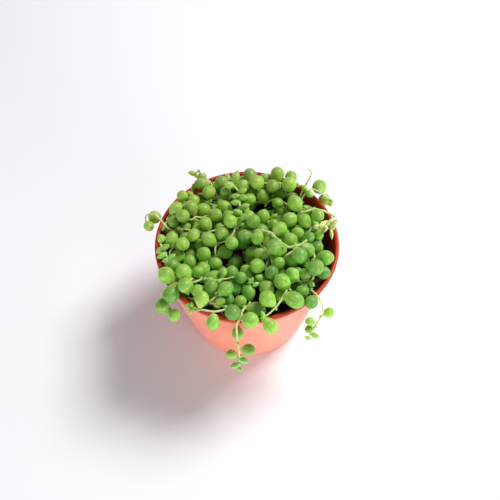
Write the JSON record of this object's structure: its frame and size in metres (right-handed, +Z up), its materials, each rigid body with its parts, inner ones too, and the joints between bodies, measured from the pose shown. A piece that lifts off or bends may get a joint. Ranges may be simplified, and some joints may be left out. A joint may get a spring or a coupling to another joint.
{
  "type": "potted string of pearls",
  "caption": "Small tapered plastic nursery pot of dark soil, crowded with trailing strands of round, bead-like succulent leaves.",
  "frame": {"origin": "centre of the pot's base, on the surface it stands on", "axes": "+Z up through the middle of the pot, -Y to the front, where the longest strand hangs over the rim, +X to the right seen from the front"},
  "size_m": [0.1125, 0.1176, 0.0893],
  "materials": {
    "pot_plastic": "satin",
    "potting_soil": "matte",
    "leaf": "satin",
    "stem": "satin",
    "dry_stem": "matte"
  },
  "bodies": {
    "root": {"pot": "pot_plastic", "soil": "potting_soil", "front_trailer": "leaf", "right_trailer": "leaf", "left_front_strand": "leaf", "front_left_strand": "leaf", "front_right_strand": "leaf", "left_strand": "leaf", "back_left_strand": "leaf", "back_rim_strand": "leaf", "back_right_strand": "leaf", "right_strand": "leaf", "crossing_strand": "leaf", "right_edge_strand": "leaf", "left_rim_shoot": "leaf", "crown_shoot": "leaf", "withered_shoot": "dry_stem", "dry_tendril": "dry_stem", "low_strand_1": "leaf", "low_strand_2": "leaf", "low_strand_3": "leaf", "low_strand_4": "leaf", "low_strand_5": "leaf", "low_strand_6": "leaf", "middle_strand_1": "leaf", "middle_strand_2": "leaf", "middle_strand_3": "leaf", "middle_strand_4": "leaf", "middle_strand_5": "leaf", "middle_strand_6": "leaf", "middle_strand_7": "leaf", "middle_strand_8": "leaf", "top_strand_1": "leaf", "top_strand_2": "leaf", "top_strand_3": "leaf", "top_strand_4": "leaf", "top_strand_5": "leaf", "top_strand_6": "leaf", "top_strand_7": "leaf", "top_strand_8": "leaf", "top_strand_9": "leaf", "top_strand_10": "leaf", "top_strand_11": "leaf"}
  },
  "joints": []
}
